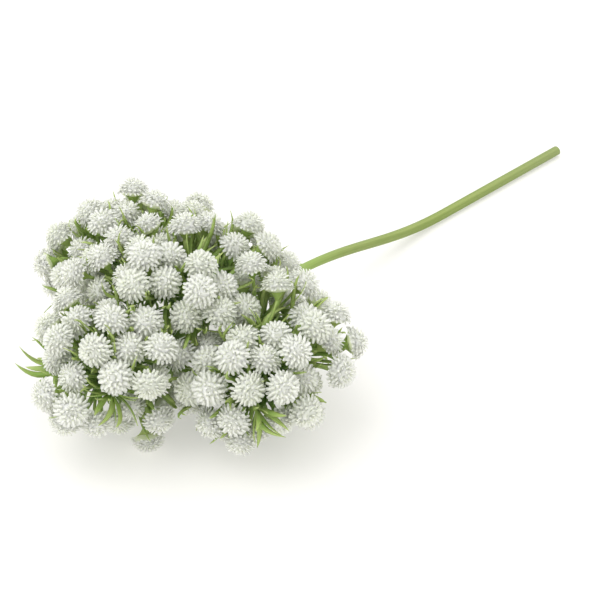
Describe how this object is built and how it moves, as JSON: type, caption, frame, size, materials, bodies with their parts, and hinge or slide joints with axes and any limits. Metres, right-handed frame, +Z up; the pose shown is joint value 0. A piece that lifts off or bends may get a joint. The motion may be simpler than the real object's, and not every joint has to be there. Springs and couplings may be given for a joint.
{
  "type": "gypsophila stem",
  "caption": "One cut stem of artificial gypsophila lying on its side: a bare green stalk that forks into thin branches, each tipped with bunches of small white pompom flower heads.",
  "frame": {"origin": "on the surface that the stem lies on, under the middle of its bounding box", "axes": "+X towards the stalk's cut end, with the flower cloud at -X; +Z up; +Y to the left of the cut end"},
  "size_m": [0.2278, 0.1134, 0.0557],
  "materials": {
    "stalk_olive": "matt olive-green moulded plastic",
    "stems_lime": "satin lime-green moulded plastic",
    "petals_white": "soft matt white translucent moulded plastic"
  },
  "bodies": {
    "root": {"main_stem": "stalk_olive", "fork_1": "stems_lime", "fork_2": "stems_lime", "fork_3": "stems_lime", "fork_4": "stems_lime", "flower_heads_01": "petals_white", "flower_heads_02": "petals_white", "flower_heads_03": "petals_white", "flower_heads_04": "petals_white", "flower_heads_05": "petals_white", "flower_heads_06": "petals_white", "flower_heads_07": "petals_white", "flower_heads_08": "petals_white", "flower_heads_09": "petals_white", "flower_heads_10": "petals_white", "flower_heads_11": "petals_white", "flower_heads_12": "petals_white", "flower_heads_13": "petals_white", "flower_heads_14": "petals_white", "flower_heads_15": "petals_white", "flower_heads_16": "petals_white", "flower_heads_17": "petals_white", "flower_heads_18": "petals_white", "flower_heads_19": "petals_white", "flower_heads_20": "petals_white", "flower_heads_21": "petals_white", "flower_heads_22": "petals_white", "flower_heads_23": "petals_white", "flower_heads_24": "petals_white", "flower_heads_25": "petals_white", "flower_heads_26": "petals_white", "flower_heads_27": "petals_white", "flower_heads_28": "petals_white", "flower_heads_29": "petals_white", "flower_heads_30": "petals_white", "flower_heads_31": "petals_white"}
  },
  "joints": []
}
